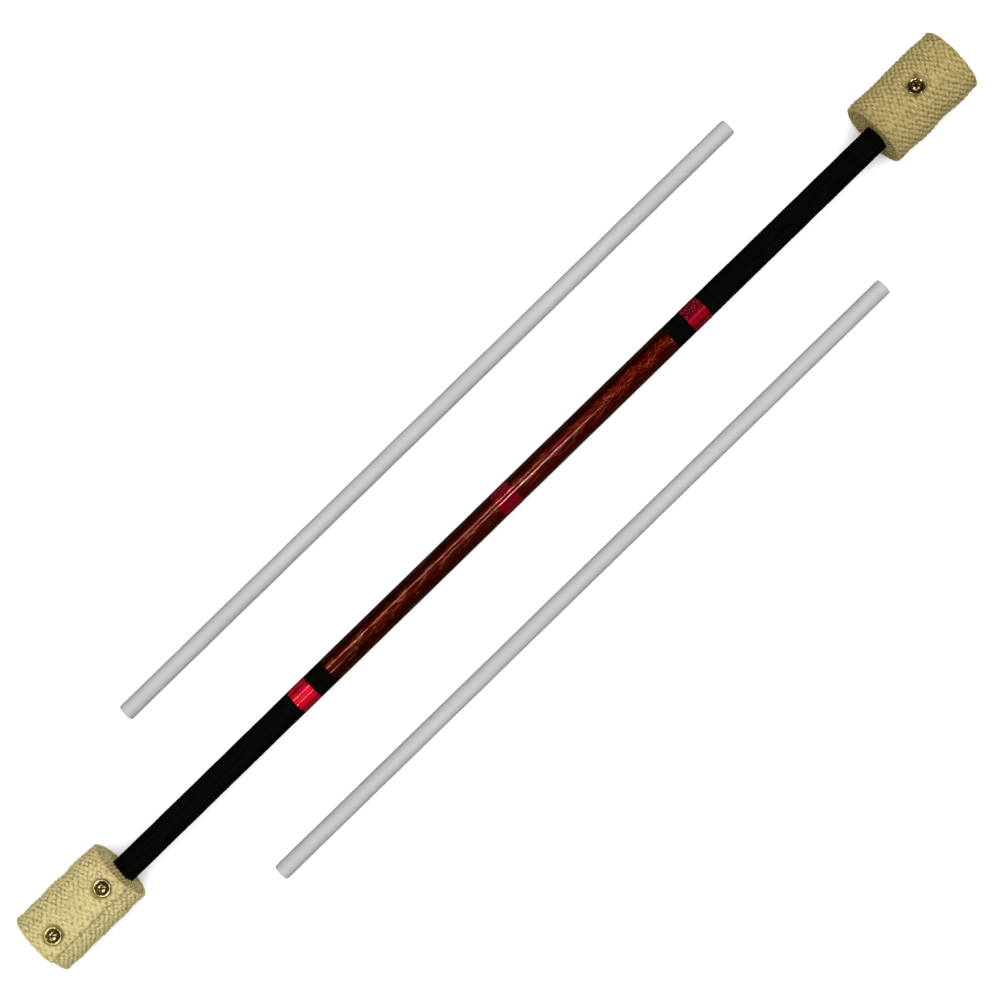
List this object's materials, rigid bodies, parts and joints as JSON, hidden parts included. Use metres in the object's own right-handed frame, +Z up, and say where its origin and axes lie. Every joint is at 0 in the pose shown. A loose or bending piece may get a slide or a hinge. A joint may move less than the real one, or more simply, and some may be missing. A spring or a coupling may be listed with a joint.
{
  "type": "flame juggling stick set",
  "caption": "Flame juggling baton with wound fabric wicks screwed to its ends and a foil-decorated middle, and soft-covered hand sticks lying beside it.",
  "frame": {"origin": "on the surface that the sticks lie on, midway along the baton and midway between the hand sticks", "axes": "+X along the baton towards the wick with the single screw on top, +Y across the row of sticks, +Z up"},
  "size_m": [0.7434, 0.1424, 0.0429],
  "materials": {
    "tube": "drawn tube, satin",
    "plug_wood": "turned beech, bare",
    "black_grip": "matt black grip",
    "black_tape": "matt tape",
    "copper_foil": "crinkled copper-coloured metallised film",
    "pink_foil": "crinkled pink-red metallised film",
    "clear_film": "clear, glossy",
    "wick_fabric": "coarse aramid weave",
    "plated_screw": "yellow zinc plate",
    "fibre_rod": "pultruded glass fibre",
    "grey_silicone": "matt light grey"
  },
  "bodies": {
    "baton": {"core_tube": "tube", "copper_foil_wrap": "copper_foil", "centre_pink_foil_band": "pink_foil", "clear_protective_sleeve": "clear_film", "left_black_edge_ring": "black_tape", "left_grip_sleeve": "black_grip", "left_pink_foil_band": "pink_foil", "left_end_plug": "plug_wood", "left_wick": "wick_fabric", "left_wick_outer_screw": "plated_screw", "left_wick_middle_screw": "plated_screw", "left_wick_inner_screw": "plated_screw", "right_black_edge_ring": "black_tape", "right_grip_sleeve": "black_grip", "right_pink_foil_band": "pink_foil", "right_end_plug": "plug_wood", "right_wick": "wick_fabric", "right_wick_outer_screw": "plated_screw", "right_wick_middle_screw": "plated_screw", "right_wick_inner_screw": "plated_screw"},
    "near_hand_stick": {"near_hand_stick_rod": "fibre_rod", "near_hand_stick_sleeve": "grey_silicone"},
    "far_hand_stick": {"far_hand_stick_rod": "fibre_rod", "far_hand_stick_sleeve": "grey_silicone"}
  },
  "joints": [
    {"name": "near_hand_stick_lift", "type": "slide", "parent": "baton", "child": "near_hand_stick", "axis": [0, 0, 1], "range_m": [0, 0.12]},
    {"name": "far_hand_stick_lift", "type": "slide", "parent": "baton", "child": "far_hand_stick", "axis": [0, 0, 1], "range_m": [0, 0.12]}
  ]
}
